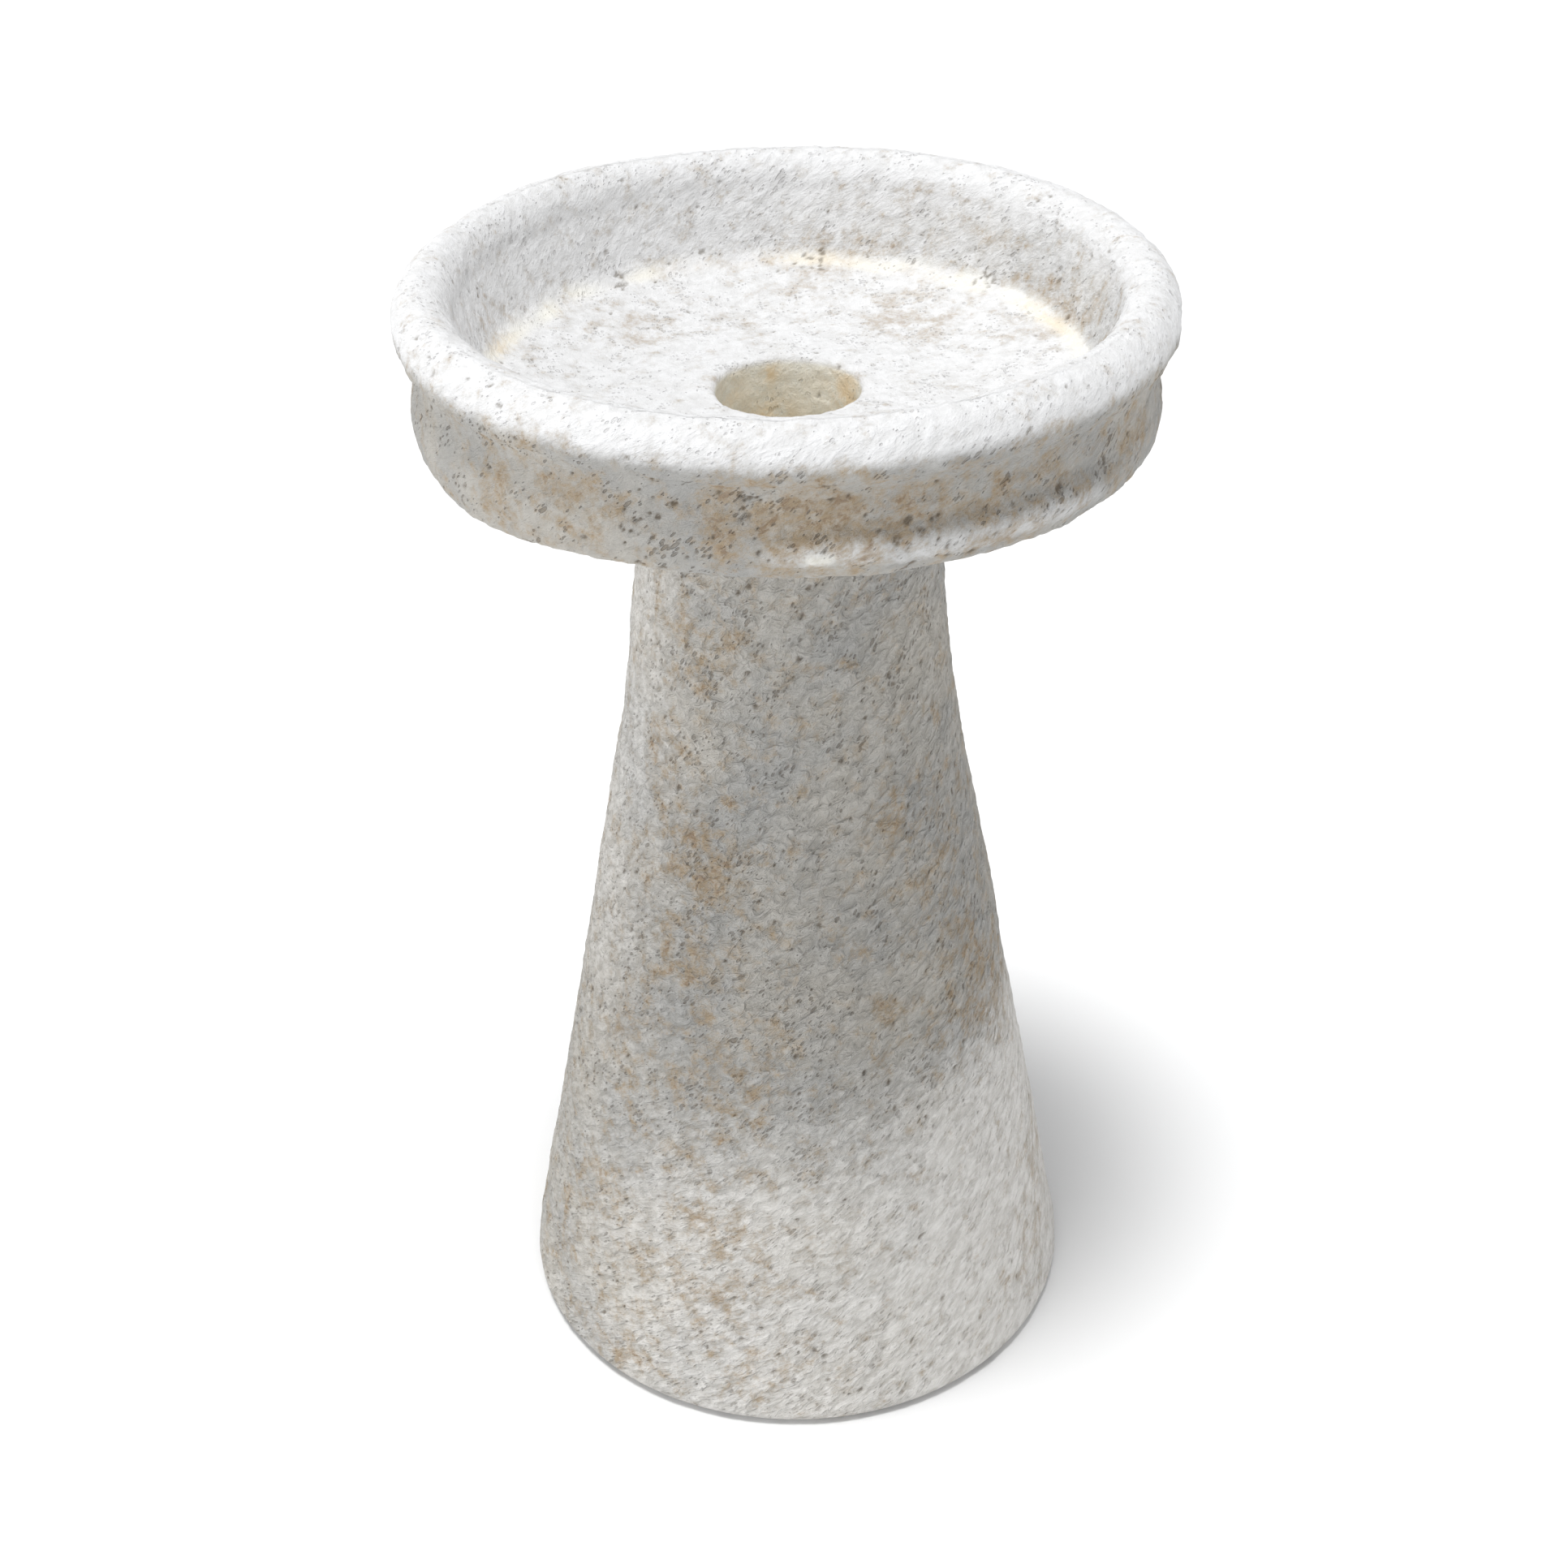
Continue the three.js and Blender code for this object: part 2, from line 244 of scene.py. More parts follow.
def dig(points, centres, sizes, slant):
    """How deep each point lies in the ragged pits at the centres, from 0 to 1. The pits are drawn
    out a little along the drag marks."""
    tree = kdtree.KDTree(len(points))
    for i, point in enumerate(points):
        tree.insert(point, i)
    tree.balance()
    ragged = 1 + 0.5 * noise(points, 3 * MM, 7)
    depth = np.zeros(len(points))
    for centre, size, lean in zip(centres, sizes, slant * side(centres)):
        found = [i for _, i, _ in tree.find_range(centre, 2 * size * PIT_STRETCH)]
        away = points[found] - centre
        along = away @ drag_direction(centre, lean)
        across = np.sqrt(np.maximum((away**2).sum(1) - along**2, 0))
        reach = np.hypot(along / PIT_STRETCH, across) / size * ragged[found]
        depth[found] = np.maximum(depth[found], np.clip(1 - reach**2, 0, 1))
    return depth


def azimuth_of(points):
    """Degrees round the axis from the front, positive to the viewer's right."""
    return np.degrees(np.arctan2(points[:, 0], -points[:, 1]))


def spotted(points, spots):
    """The sum of soft round spots, each as strong as it says in its middle."""
    total = np.zeros(len(points))
    for azimuth, radius, height, size, strength in spots:
        angle = math.radians(azimuth)
        centre = np.array([radius * math.sin(angle), -radius * math.cos(angle), height]) * MM
        total += strength * np.exp(-((points - centre) ** 2).sum(1) / (size * MM) ** 2)
    return total


# ---------------------------------------------------------------- turned meshes


def section_of(node):
    """The closed outline (radius, height) of a turned CAD solid, anticlockwise."""
    mesh = frame["nodes"][node].data
    on_plane = [abs(v.co.x) < NEAR_PLANE and v.co.y < 0 for v in mesh.vertices]
    spots = [(round(-v.co.y, 6), round(v.co.z, 6)) for v in mesh.vertices]
    links = {}
    for edge in mesh.edges:
        i, j = edge.vertices
        if on_plane[i] and on_plane[j] and spots[i] != spots[j]:
            links.setdefault(spots[i], set()).add(spots[j])
            links.setdefault(spots[j], set()).add(spots[i])
    start = min(links)
    outline = [start, min(links[start])]
    while outline[-1] != start:
        before, here = outline[-2:]
        outline.append(next(spot for spot in links[here] if spot != before))
    outline = np.array(outline[:-1])
    radius, height = outline.T
    area = (radius * np.roll(height, -1) - np.roll(radius, -1) * height).sum()
    return outline if area > 0 else outline[::-1]


def circle(radius, size):
    """The section of a round wire, size thick to each side, bent to a ring of that radius."""
    angle = np.linspace(0, 2 * math.pi, WIRE_SIDES, endpoint=False)
    return np.stack([radius + size * np.cos(angle), size * np.sin(angle)], axis=1)


def evenly(outline, step):
    """The same closed outline with a point about every step."""
    closed = np.vstack([outline, outline[:1]])
    travelled = np.r_[0, np.cumsum(np.linalg.norm(np.diff(closed, axis=0), axis=1))]
    count = round(travelled[-1] / step)
    places = np.arange(count) * travelled[-1] / count
    return np.stack([np.interp(places, travelled, column) for column in closed.T], axis=1)


def softened(outline, passes):
    """The same outline with its corners rounded, the more so the more passes."""
    for _ in range(passes):
        outline = (np.roll(outline, 1, axis=0) + 2 * outline + np.roll(outline, -1, axis=0)) / 4
    return outline


def outward(outline):
    """The outline's unit normals, pointing out of the solid."""
    tangent = np.roll(outline, -1, axis=0) - np.roll(outline, 1, axis=0)
    normal = np.stack([tangent[:, 1], -tangent[:, 0]], axis=1)
    return normal / np.linalg.norm(normal, axis=1, keepdims=True)


def round_axis(outline, angle):
    """Points at these (radius, height) pairs and angles."""
    radius, height = outline.T
    return np.stack([radius * np.cos(angle), radius * np.sin(angle), height], axis=1)


def strip(a, a_count, b, b_count):
    """Faces between a ring of a_count vertices from a on and a ring of b_count vertices from b on.
    The one count is the same as the other, half or twice that."""
    if a_count < b_count:
        return [face[::-1] for face in strip(b, b_count, a, a_count)]
    near = np.arange(b_count)
    far = np.roll(near, -1)
    if a_count == b_count:
        return np.stack([a + near, a + far, b + far, b + near], axis=1).tolist()
    left, middle, right = a + 2 * near, a + 2 * near + 1, a + 2 * far
    triangles = [(left, middle, b + near), (middle, b + far, b + near), (middle, right, b + far)]
    return np.concatenate([np.stack(corners, axis=1) for corners in triangles]).tolist()


def turn(outline, columns, steps):
    """Turns a closed outline round Z. Rings with columns much closer than steps have fewer, halved
    ring by ring. Returns each vertex's index in the outline, its angle, and the faces."""
    spacing = np.maximum(2 * math.pi * outline[:, 0] / columns, TOUCHING)
    most = int(math.log2(columns / FEWEST_COLUMNS))
    level = np.clip(np.floor(np.log2(1.5 * steps / spacing)), 0, most).astype(int)
    for _ in range(most):
        level = np.minimum(level, np.minimum(np.roll(level, 1), np.roll(level, -1)) + 1)
    counts = columns >> level
    starts = np.r_[0, np.cumsum(counts)]
    ring = np.repeat(np.arange(len(outline)), counts)
    angle = 2 * math.pi * (np.arange(starts[-1]) - starts[ring]) / counts[ring]
    faces = []
    for i in range(len(outline)):
        j = (i + 1) % len(outline)
        faces += strip(starts[i], counts[i], starts[j], counts[j])
    return ring, angle, faces


def mesh_object(name, points, faces, fields=None):
    """A smooth mesh in the scene. fields are values for each point that materials read by name."""
    mesh = bpy.data.meshes.new(name)
    mesh.from_pydata(points.tolist(), [], faces)
    mesh.shade_smooth()
    for field, values in (fields or {}).items():
        layer = mesh.attributes.new(field, "FLOAT", "POINT")
        layer.data.foreach_set("value", np.asarray(values, np.float32))
    piece = bpy.data.objects.new(name, mesh)
    bpy.context.scene.collection.objects.link(piece)
    return piece


def turned(name, outline, columns, place=Matrix()):
    """A small turned piece, moved to its place. Where its outline meets the axis, the ring closes
    to a point."""
    ring, angle, faces = turn(outline, columns, np.full(len(outline), TOUCHING))
    piece = mesh_object(name, round_axis(outline[ring], angle), faces)
    form = bmesh.new()
    form.from_mesh(piece.data)
    bmesh.ops.remove_doubles(form, verts=form.verts, dist=2 * TOUCHING)
    form.to_mesh(piece.data)
    form.free()
    piece.data.transform(place)
    return piece


def stands_for(piece, node, material):
    """The piece takes the place of a CAD node, on its body and with its material slot."""
    piece.data.materials.append(material)
    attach(piece, BODY_OF[node])
    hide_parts(node)


# ---------------------------------------------------------------- castings


def casting(node, hidden, wear, material):
    """A casting's CAD outline, softened and turned, then worn. hidden tells which of the outline's
    points nobody sees, from their places and normals."""
    outline = softened(evenly(section_of(node), STONE_STEP), 3)
    coarse = hidden(outline, outward(outline))
    order = np.arange(len(outline))
    kept = ~coarse | (order % HIDDEN_THINNING == 0)
    outline, coarse = outline[kept], coarse[kept]
    steps = STONE_STEP * np.where(coarse, HIDDEN_THINNING, 1)
    ring, angle, faces = turn(outline, STONE_COLUMNS, steps)
    points = round_axis(outline[ring], angle)
    normals = round_axis(outward(outline)[ring], angle)
    points, fields = wear(points, normals, ~coarse[ring])
    stands_for(mesh_object(f"{node}_casting", points, faces, fields), node, material)


def scatter(points, weights, count):
    """Places picked from the points, the more often the greater their weight."""
    return points[random.choice(len(points), count, replace=False, p=weights / weights.sum())]


def relief(points):
    """The height of the hand-finished surface over the turned one."""
    return (
        WAVE_HEIGHT * noise(points, WAVE_LENGTH, 1)
        + DENT_HEIGHT * noise(points, DENT_LENGTH, 2)
        + GRAIN_HEIGHT * noise(points, GRAIN_LENGTH, 3)
        + GRAIN_HEIGHT * noise(points, GRAIN_LENGTH / 2, 4)
    )


def lip(points):
    """Low on the basin's right front, the wall draws in to a groove and flares out again below it.
    Returns how far each point lies in the groove and on the flare, from 0 to 1."""
    azimuth = azimuth_of(points)
    there = smoothstep(azimuth, *LIP_START) * (1 - smoothstep(azimuth, *LIP_END))
    below = LIP_HEIGHT + 2 * MM * noise(points, 40 * MM, 8) - points[:, 2]
    groove = np.exp(-((below / (5 * MM)) ** 2))
    flare = smoothstep(below, 0, 12 * MM) * (1 - smoothstep(below, 14 * MM, 24 * MM))
    return there * groove, there * flare


def free_of_fits(points):
    """0 where the basin fits the gasket, the pedestal and the stopper, 1 where it may stray."""
    radius = np.hypot(points[:, 0], points[:, 1])
    height = points[:, 2]
    above = smoothstep(height, UNDERSIDE + 2 * MM, UNDERSIDE + 8 * MM)
    in_well = (radius < WELL) * smoothstep(height, EYE.z, EYE.z + 10 * MM)
    outside_seat = smoothstep(radius, SEAT_RADIUS + 5 * MM, SEAT_RADIUS + 40 * MM)
    return np.maximum.reduce([above, in_well, outside_seat])


def basin_zones(points):
    """How far each point belongs to the outer wall, the inner wall, the well and the floor's edge,
    from 0 to 1."""
    radius = np.hypot(points[:, 0], points[:, 1])
    height = points[:, 2]
    wall = smoothstep(radius, *WALL_RADIUS) * (1 - smoothstep(height, *WALL_TOP))
    inner_wall = smoothstep(height, *INNER_WALL_FOOT) * (1 - smoothstep(radius, *INNER_WALL_RADIUS))
    well = (radius < WELL) * (1 - smoothstep(height, FLOOR - 5 * MM, FLOOR - 2 * MM))
    away = radius + 3 * MM * noise(points, 30 * MM, 11) - FLOOR_EDGE
    floor_edge = (height < FLOOR_EDGE_TOP) * np.exp(-((away / FLOOR_EDGE_WIDTH) ** 2))
    return wall, inner_wall, well, floor_edge


def worn_basin(points, normals, shown):
    """The basin's worn points, and the values that its material reads."""
    loose = free_of_fits(points)
    wall, inner_wall, well, floor_edge = basin_zones(points)
    stained = spotted(points, BASIN_STAINS)
    # Painted highlight in cream along the floor's edge, and painted light on the well's walls
    painted_cream = 0.7 * floor_edge * smoothstep(noise(points, 22 * MM, 10), -0.5, 0.3) + 0.95 * well
    groove, flare = (wall * part for part in lip(points))
    cluster = smoothstep(noise(points, 35 * MM, 5), 0.0, 0.5)
    crowd = 0.1 + 0.3 * cluster + 0.7 * wall * cluster + 12 * spotted(points, PIT_CLUSTERS)
    centres = scatter(points, shown * loose * crowd, BASIN_PITS)
    pits = dig(points, centres, random.uniform(*PIT_SIZES, len(centres)), BASIN_SLANT)
    bumps = relief(points) + MM * spotted(points, BULGES)
    bumps += LIP_FLARE * flare - LIP_GROOVE * groove - PIT_DEPTH * pits
    worn = points + normals * (loose * bumps)[:, None]
    worn[:, 2] += RIM_TILT * points[:, 1] / cad_high.y * smoothstep(points[:, 2], FLOOR, RIM_TOP)
    # Less whitewash on the outer wall. Painted shade on the inner wall, darker to the right, and painted light on
    # the flare.
    wash_and_painted_light = 1 - 0.8 * wall - (0.25 + points[:, 0]) * inner_wall + 0.4 * flare
    fields = {
        # Dirt in the pits, and painted shade along the lip's groove
        "pit": np.clip(pits + 0.2 * groove * (1 + 2 * noise(points, 6 * MM, 9)), 0, 1),
        "stain": np.clip(0.5 + 0.75 * stained, 0, 1.3),
        "wash_and_painted_light": wash_and_painted_light,
        "side": side(points),
        # Painted highlights and painted light: the glint on the lip, the floor's edge and the well
        "painted_light": np.clip(1.5 * spotted(points, PAINTED_GLINT) + painted_cream, 0, 1),
        # Stains painted as lit, golden, in the well and along the floor's bright edge
        "stain_and_painted_light": np.clip(well * (0.12 + 0.7 * stained) + 0.35 * floor_edge * stained, 0, 1),
    }
    return worn, fields


def worn_pedestal(points, normals, shown):
    """The pedestal's worn points, and the values that its material reads."""
    height = points[:, 2]
    above_base = smoothstep(height, BASE + 0.5 * MM, BASE + 8 * MM)
    loose = above_base * smoothstep(NECK_TOP - height, 0, 12 * MM)
    cluster = smoothstep(noise(points, 45 * MM, 6), 0.0, 0.5)
    crowd = 0.2 + cluster + 12 * spotted(points, PIT_CLUSTERS)
    centres = scatter(points, shown * loose * crowd, PEDESTAL_PITS)
    pits = dig(points, centres, random.uniform(*PIT_SIZES, len(centres)), PEDESTAL_SLANT)
    worn = points + normals * (loose * (relief(points) - PIT_DEPTH * pits))[:, None]
    azimuth = azimuth_of(points)
    left = np.exp(-(((azimuth + 75) / 40) ** 2))
    right = smoothstep(azimuth, 10, 60)
    low = 1 - smoothstep(height - PAINTED_LIGHT_RISE * points[:, 0], *PAINTED_LIGHT_TOP)
    # Painted light: a lighter left side, and lighter stone low down where the basin's shadow ends, more so to the
    # right
    left_painted_light = left * (0.14 + 0.2 * smoothstep(height, 180 * MM, 300 * MM))
    low_painted_light = (1 - left) * low * (0.42 + 0.2 * right)
    fields = {
        "pit": pits,
        "stain": np.clip(0.5 + 0.8 * spotted(points, PEDESTAL_STAINS), 0, 1.2),
        "wash_and_painted_light": 0.25 + left_painted_light + low_painted_light,
        "side": side(points),
        "painted_light": np.zeros(len(points)),
        "stain_and_painted_light": np.zeros(len(points)),
    }
    return worn, fields


def under_the_basin(outline, _normals):
    """The basin's underside and boss, which nobody sees from above."""
    return (outline[:, 1] < UNDERSIDE + MM) & (outline[:, 0] > HIDDEN_FROM)


def inside_the_pedestal(outline, normals):
    """The walls of the pedestal's hollow, and the faces that look down."""
    return (normals[:, 0] < -0.5) | (normals[:, 1] < -0.9)


# ---------------------------------------------------------------- materials


class Shader:
    """Builds a material out of procedural nodes. Sockets and plain values may be mixed freely."""

    def __init__(self, name):
        self.material = bpy.data.materials.new(name)
        self.material.use_nodes = True
        self.tree = self.material.node_tree
        self.tree.nodes.clear()

    def node(self, kind, inputs=None, **settings):
        made = self.tree.nodes.new(f"ShaderNode{kind}")
        for name, value in settings.items():
            setattr(made, name, value)
        for key, value in (inputs or {}).items():
            if isinstance(value, bpy.types.NodeSocket):
                self.tree.links.new(value, made.inputs[key])
            else:
                made.inputs[key].default_value = value
        return made

    def attribute(self, name):
        return self.node("Attribute", attribute_name=name).outputs["Fac"]

    def calc(self, operation, a, b):
        return self.node("Math", {0: a, 1: b}, operation=operation).outputs[0]

    def noise(self, where, size, detail, roughness=0.55, distortion=0.0):
        """Noise from 0 to 1 with lumps about size across, in metres."""
        inputs = {"Vector": where, "Scale": 1 / size, "Detail": detail}
        inputs |= {"Roughness": roughness, "Distortion": distortion}
        return self.node("TexNoise", inputs).outputs["Fac"]

    def pores(self, where, size, crowd):
        """Pores of all sizes up to crowd times size in radius. 1 in their middle, 0 outside."""
        cell = self.node("TexVoronoi", {"Vector": where, "Scale": 1 / size})
        chance = self.node("SeparateColor", {0: cell.outputs["Color"]}).outputs["Red"]
        reach = self.calc("MULTIPLY", chance, crowd)
        inside = self.calc("SUBTRACT", reach, cell.outputs["Distance"])
        return self.rise(inside, 0.0, 0.15)

    def rise(self, value, low, high, out_low=0.0, out_high=1.0):
        """Goes smoothly from out_low to out_high while value goes from low to high."""
        inputs = {"Value": value, "From Min": low, "From Max": high}
        inputs |= {"To Min": out_low, "To Max": out_high}
        return self.node("MapRange", inputs, interpolation_type="SMOOTHSTEP").outputs[0]

    def mix(self, factor, a, b, blend="MIX"):
        inputs = {0: factor, 6: a, 7: b}
        return self.node("Mix", inputs, data_type="RGBA", blend_type=blend).outputs[2]

    def bump(self, height, distance, strength=1.0):
        inputs = {"Height": height, "Distance": distance, "Strength": strength}
        return self.node("Bump", inputs).outputs[0]

    def finish(self, **inputs):
        named = {key.replace("_", " "): value for key, value in inputs.items()}
        surface = self.node("BsdfPrincipled", named).outputs[0]
        self.node("OutputMaterial", {"Surface": surface})
        return self.material


def stone_material(name, slant, white, hollow_shade, coarse):
    """Stained and pitted cast stone under a worn whitewash of the colour white, whose amount also carries painted
    light and shade. The fourth argument sets how much painted shade darkens the whitewash in the hollows of its
    relief, and coarse how high its chips stand."""
    s = Shader(name)
    place = s.node("TexCoord").outputs["Object"]
    z = s.node("SeparateXYZ", {0: place}).outputs["Z"]
    lean = s.calc("MULTIPLY", s.attribute("side"), slant)
    angle = s.calc("MULTIPLY", s.calc("SUBTRACT", RIM_TOP, z), lean)
    turning = {"Vector": place, "Angle": angle}
    twisted = s.node("VectorRotate", turning, rotation_type="Z_AXIS").outputs[0]

    stain, wash_and_painted_light, pit, painted_light, stain_and_painted_light = map(s.attribute, ("stain", "wash_and_painted_light", "pit", "painted_light", "stain_and_painted_light"))
    broad = s.noise(place, 80 * MM, 5.0, 0.6)
    patch = s.noise(place, 13 * MM, 8.0, 0.72)
    cluster = s.noise(place, 16 * MM, 5.0, 0.65)
    chips = s.noise(twisted, 6.8 * MM, 3.0, 0.55, 0.6)
    crumb = s.noise(twisted, 3.6 * MM, 5.0, 0.7)
    grain = s.noise(twisted, 1.2 * MM, 2.0, 0.6)

    # Body colour: cool to warm grey, with ochre where stain lets it, and rust amid the ochre
    body = s.mix(s.rise(broad, 0.36, 0.64), COOL_BODY, WARM_BODY)
    over = s.calc("SUBTRACT", patch, s.calc("SUBTRACT", 0.67, s.calc("MULTIPLY", stain, 0.18)))
    ochre = s.calc("MULTIPLY", s.rise(over, -0.09, 0.13), s.rise(crumb, 0.36, 0.60, 0.5, 1.0))
    rust = s.calc("MULTIPLY", s.rise(over, 0.05, 0.15), s.rise(chips, 0.46, 0.60))
    coloured = s.mix(ochre, body, OCHRE)
    coloured = s.mix(s.calc("MULTIPLY", rust, 0.6), coloured, RUST)

    # Whitewash, thin over stains and where the surface is rough; its amount also carries painted light and shade.
    # On it, cream patches of painted highlight and painted light, and golden patches of stains painted as lit
    thin = s.calc("ADD", s.calc("MULTIPLY", patch, 0.5), s.calc("MULTIPLY", crumb, 0.5))
    cover = s.rise(s.calc("SUBTRACT", s.calc("ADD", wash_and_painted_light, 0.2), thin), 0.0, 0.6)
    held = s.calc("MULTIPLY", cover, s.calc("SUBTRACT", 1.0, s.calc("MULTIPLY", ochre, 0.6)))
    washed = s.mix(held, coloured, white)
    # Painted shade: the whitewash is darkened in the hollows of the chips' relief
    worn = s.calc("MULTIPLY", s.rise(chips, 0.3, 0.65, 1.0, 0.0), hollow_shade)
    washed = s.mix(worn, washed, HOLLOW_SHADE, "MULTIPLY")
    washed = s.mix(painted_light, washed, PAINTED_LIGHT_CREAM)
    washed = s.mix(s.calc("MULTIPLY", stain_and_painted_light, s.rise(patch, 0.32, 0.58)), washed, LIT_OCHRE)

    # Fine dark pores, more of them in clusters, the dirt in the modelled pits, and painted shade in the lip's
    # groove
    crowd = s.rise(cluster, 0.40, 0.68, 0.10, 0.54)
    drawn_out = s.node("Mapping", {"Vector": twisted, "Scale": (1, 1, 0.6)}).outputs[0]
    wide, fine = (s.pores(drawn_out, size, crowd) for size in PORE_SPACINGS)
    pores = s.calc("MAXIMUM", wide, fine)
    thinned = s.calc("SUBTRACT", 1.0, s.calc("MULTIPLY", cover, 0.7))
    dirt_and_groove_shade = s.calc("MULTIPLY", s.calc("MULTIPLY", pores, 0.5), thinned)
    deep = s.calc("SUBTRACT", 0.85, s.calc("MULTIPLY", cover, 0.25))
    ragged = s.calc("MULTIPLY", s.rise(pit, 0.15, 0.9), s.rise(crumb, 0.35, 0.55, 0.25, 1.0))
    dirt_and_groove_shade = s.calc("MAXIMUM", dirt_and_groove_shade, s.calc("MULTIPLY", ragged, deep))
    colour = s.mix(dirt_and_groove_shade, washed, DIRT_AND_GROOVE_SHADE)

    dull = s.calc("SUBTRACT", 1.0, s.calc("MULTIPLY", painted_light, 0.7))
    rough = s.calc("MULTIPLY", s.rise(crumb, 0.2, 0.8, 0.82, 0.97), dull)
    lumps = s.calc("ADD", crumb, s.calc("MULTIPLY", grain, 0.3))
    lumps = s.calc("ADD", lumps, s.calc("MULTIPLY", chips, coarse))
    surface = s.calc("SUBTRACT", lumps, s.calc("MULTIPLY", pores, 0.6))
    normal = s.bump(surface, s.calc("SUBTRACT", 1.8 * MM, s.calc("MULTIPLY", cover, 0.9 * MM)))
    return s.finish(Base_Color=colour, Roughness=rough, Normal=normal, Specular_IOR_Level=0.3)


def rubber_material():
    s = Shader("rubber")
    place = s.node("TexCoord").outputs["Object"]
    dust = s.noise(place, 12 * MM, 6.0, 0.65)
    grain = s.noise(place, 0.7 * MM, 3.0)
    colour = s.mix(s.rise(dust, 0.42, 0.72), RUBBER, RUBBER_DUST)
    rough = s.rise(dust, 0.35, 0.75, 0.55, 0.85)
    return s.finish(Base_Color=colour, Roughness=rough, Normal=s.bump(grain, 0.1 * MM, 0.6))


def steel_material():
    s = Shader("steel")
    place = s.node("TexCoord").outputs["Object"]
    spots = s.noise(place, 6 * MM, 6.0, 0.7)
    squeezed = s.node("Mapping", {"Vector": place, "Scale": (1, 1, 6)}).outputs[0]
    scratches = s.noise(squeezed, 1.2 * MM, 2.0)
    colour = s.mix(s.rise(spots, 0.50, 0.72), STEEL, STEEL_TARNISH)
    tarnish = s.rise(spots, 0.4, 0.75, 0.22, 0.5)
    rough = s.calc("ADD", tarnish, s.rise(scratches, 0.3, 0.7, 0.0, 0.12))
    normal = s.bump(scratches, 0.04 * MM, 0.5)
    return s.finish(Base_Color=colour, Metallic=1.0, Roughness=rough, Normal=normal)


# ---------------------------------------------------------------- rubber and steel pieces


def gasket(material):
    """The rubber ring between the castings."""
    outline = softened(evenly(section_of("seat_gasket"), GASKET_STEP), 2)
    stands_for(turned("seat_gasket_ring", outline, GASKET_COLUMNS), "seat_gasket", material)


def stopper(rubber, steel):
    """The rubber plug, with a steel washer on it."""
    plug = softened(evenly(section_of("drain_stopper"), PLUG_STEP), 2)
    stands_for(turned("drain_stopper_plug", plug, PLUG_COLUMNS), "drain_stopper", rubber)
    washer = softened(evenly(section_of("stopper_washer"), STEEL_STEP), 1)
    stands_for(turned("stopper_washer_disc", washer, WASHER_COLUMNS), "stopper_washer", steel)


def eye_pin(material):
    """A riveted head and a stem through the stopper, and the eye on top."""
    low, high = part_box("stopper_eye_pin")
    eye = high.y - EYE_WIRE
    head, top = low.z + PIN_HEAD, EYE.z - eye
    rivet = [(0, low.z), (high.x, low.z), (high.x, head)]
    shank = [(PIN_RADIUS, head), (PIN_RADIUS, top), (0, top)]
    stem = softened(evenly(np.array(rivet + shank), STEEL_STEP), 2)
    stands_for(turned("eye_pin_stem", stem, STEM_COLUMNS), "stopper_eye_pin", material)
    place = Matrix.Translation(EYE) @ Matrix.Rotation(math.pi / 2, 4, "Y")
    loop = turned("eye_pin_loop", circle(eye, EYE_WIRE), LOOP_COLUMNS, place)
    stands_for(loop, "stopper_eye_pin", material)


def pull_ring(material):
    """A ring of round wire that hangs in the eye, with its near side down on the stopper."""
    low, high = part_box("stopper_pull_ring")
    radius = high.x - RING_WIRE
    droop = math.asin((EYE.z - RING_WIRE - low.z) / (2 * radius))
    hung = Matrix.Rotation(droop, 4, "X") @ Matrix.Translation((0, -radius, 0))
    place = Matrix.Translation(EYE) @ hung
    wire = turned("pull_ring_wire", circle(radius, RING_WIRE), RING_COLUMNS, place)
    stands_for(wire, "stopper_pull_ring", material)


def foot_pads(material):
    """Round pads with softened edges, flat in the middle."""
    for node in (name for name in frame["nodes"] if name.startswith("foot_pad")):
        low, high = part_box(node)
        centre = (low + high) / 2
        radius, thickness = (high.x - low.x) / 2, high.z - low.z
        corners = np.array([[0, 0], [radius, 0], [radius, thickness], [0, thickness]])
        outline = softened(evenly(corners, PAD_STEP), 6)
        outline[:, 0] = np.where(outline[:, 0] < 0.8 * MM, 0, outline[:, 0])
        place = Matrix.Translation((centre.x, centre.y, low.z))
        stands_for(turned(f"{node}_disc", outline, PAD_COLUMNS, place), node, material)


# ---------------------------------------------------------------- stage


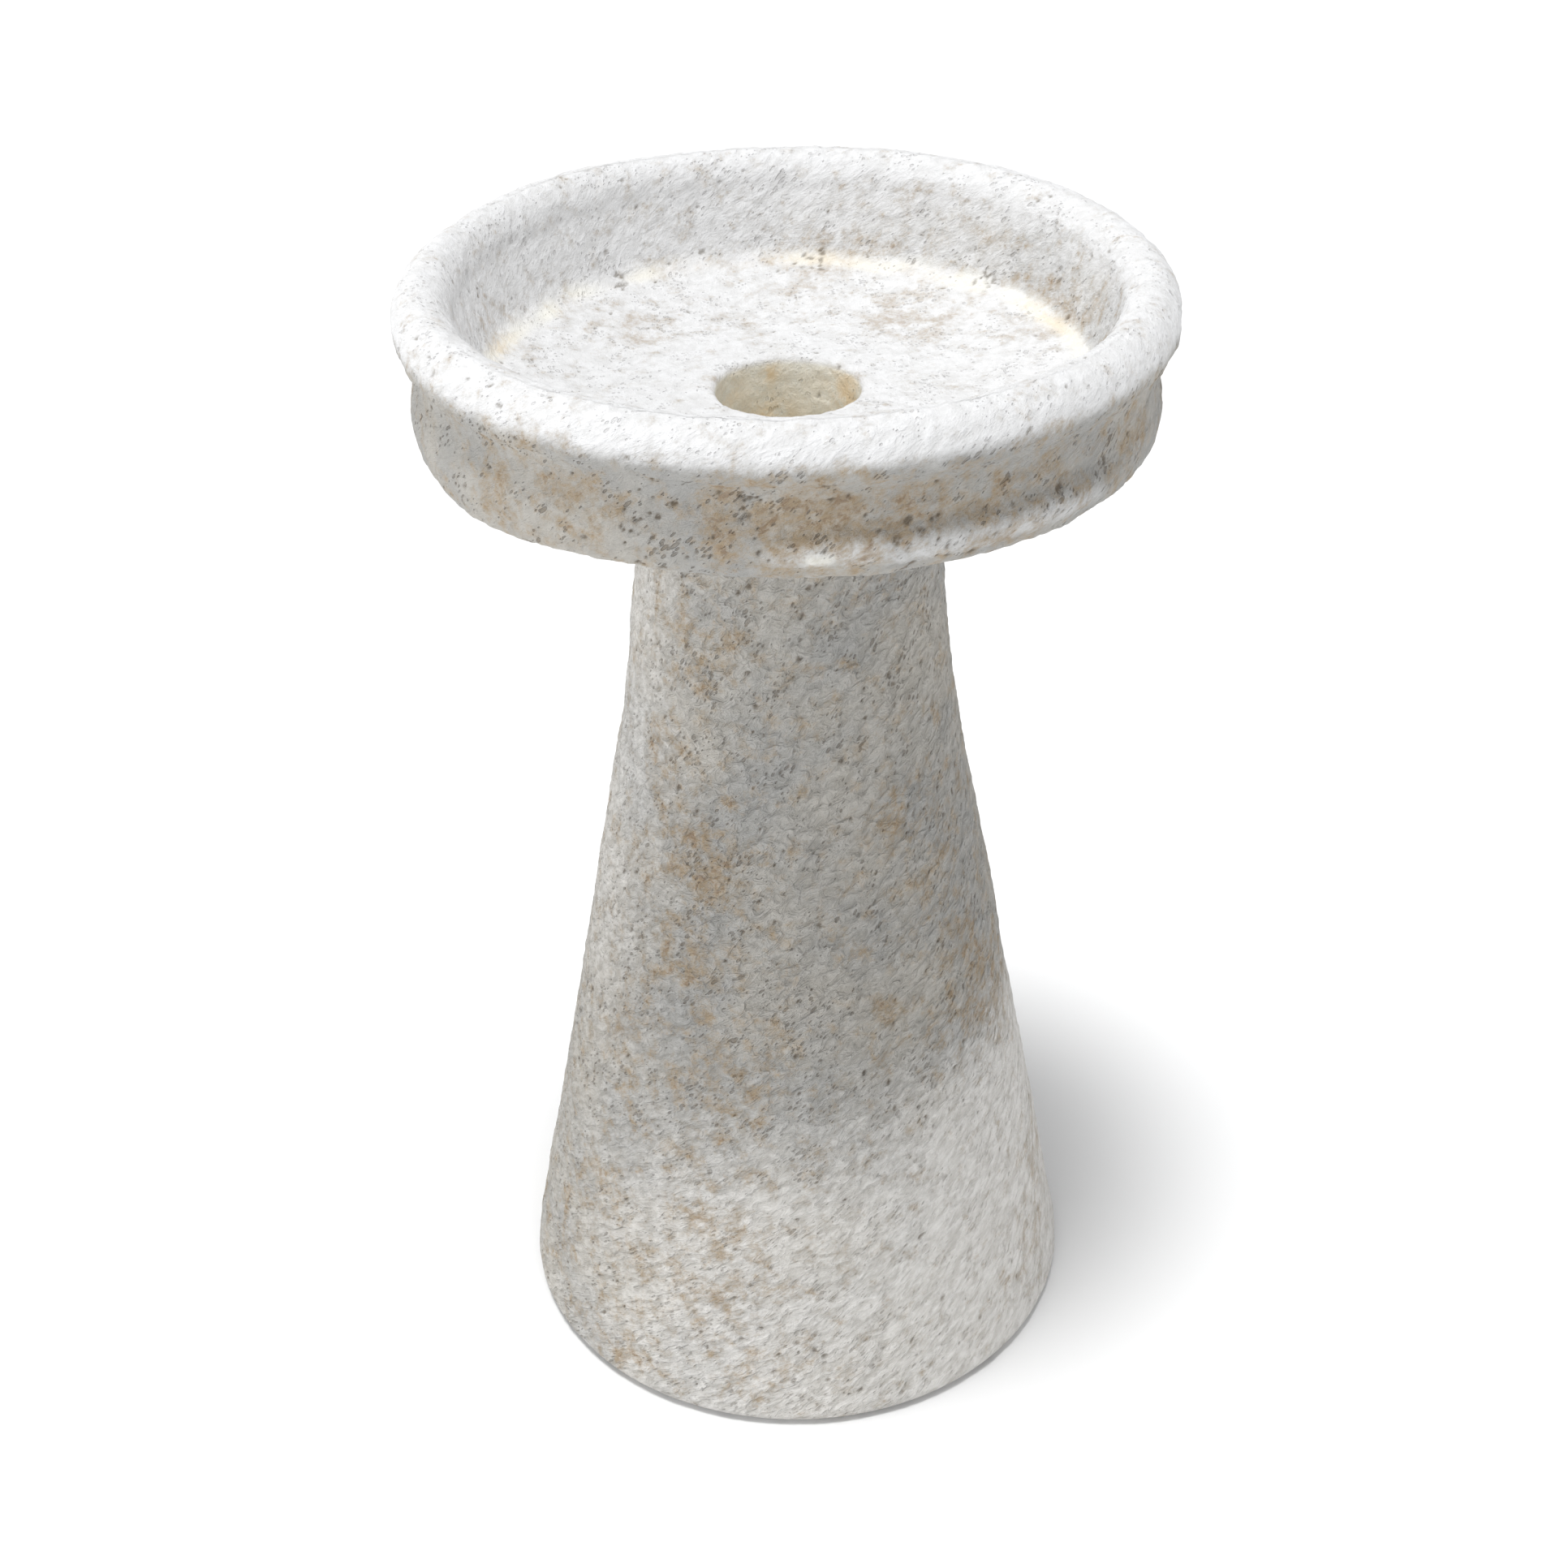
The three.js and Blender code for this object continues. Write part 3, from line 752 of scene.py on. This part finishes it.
def floor():
    """The white floor of the studio, which is not part of the bath."""
    bpy.ops.mesh.primitive_plane_add(size=FLOOR_SIZE)
    plane = bpy.context.object
    plane.name = "studio_floor"
    s = Shader("studio_floor")
    plane.data.materials.append(s.finish(Base_Color=PALE_FLOOR, Roughness=0.9))


def sun(name, direction, strength, angle):
    data = bpy.data.lights.new(name, "SUN")
    data.energy = strength * math.pi
    data.angle = math.radians(angle)
    light = bpy.data.objects.new(name, data)
    light.rotation_euler = Vector(direction).to_track_quat("-Z", "Y").to_euler()
    bpy.context.scene.collection.objects.link(light)


def studio():
    """A white room, one soft light from overhead and a softer one from the left."""
    world = bpy.data.worlds.new("studio")
    bpy.context.scene.world = world
    world.use_nodes = True
    background = world.node_tree.nodes["Background"]
    background.inputs["Color"].default_value = ROOM_COLOUR
    background.inputs["Strength"].default_value = ROOM_STRENGTH
    sun("overhead", *OVERHEAD)
    sun("left_window", *LEFT_WINDOW)
    bpy.context.scene.view_settings.view_transform = "Standard"


def camera():
    """The camera, where the photographer stood."""
    data = bpy.data.cameras.new("camera")
    data.sensor_width = CAMERA_SENSOR
    data.lens = CAMERA_LENS
    made = bpy.data.objects.new("camera", data)
    pitch = Matrix.Rotation(math.pi / 2 - CAMERA_DOWN, 4, "X")
    turns = Matrix.Rotation(CAMERA_YAW, 4, "Z") @ pitch @ Matrix.Rotation(CAMERA_ROLL, 4, "Z")
    made.matrix_world = Matrix.Translation(CAMERA_PLACE) @ turns
    bpy.context.scene.collection.objects.link(made)
    bpy.context.scene.camera = made


camera()
rubber, steel = rubber_material(), steel_material()
basin_stone = stone_material("cast_stone_basin", BASIN_SLANT, BASIN_WASH_AND_LIGHT, 0.35, 1.6)
pedestal_stone = stone_material("cast_stone_pedestal", PEDESTAL_SLANT, PEDESTAL_WASH_AND_LIGHT, 0.8, 4.0)
casting("basin", under_the_basin, worn_basin, basin_stone)
casting("pedestal", inside_the_pedestal, worn_pedestal, pedestal_stone)
gasket(rubber)
stopper(rubber, steel)
foot_pads(rubber)
eye_pin(steel)
pull_ring(steel)
floor()
studio()
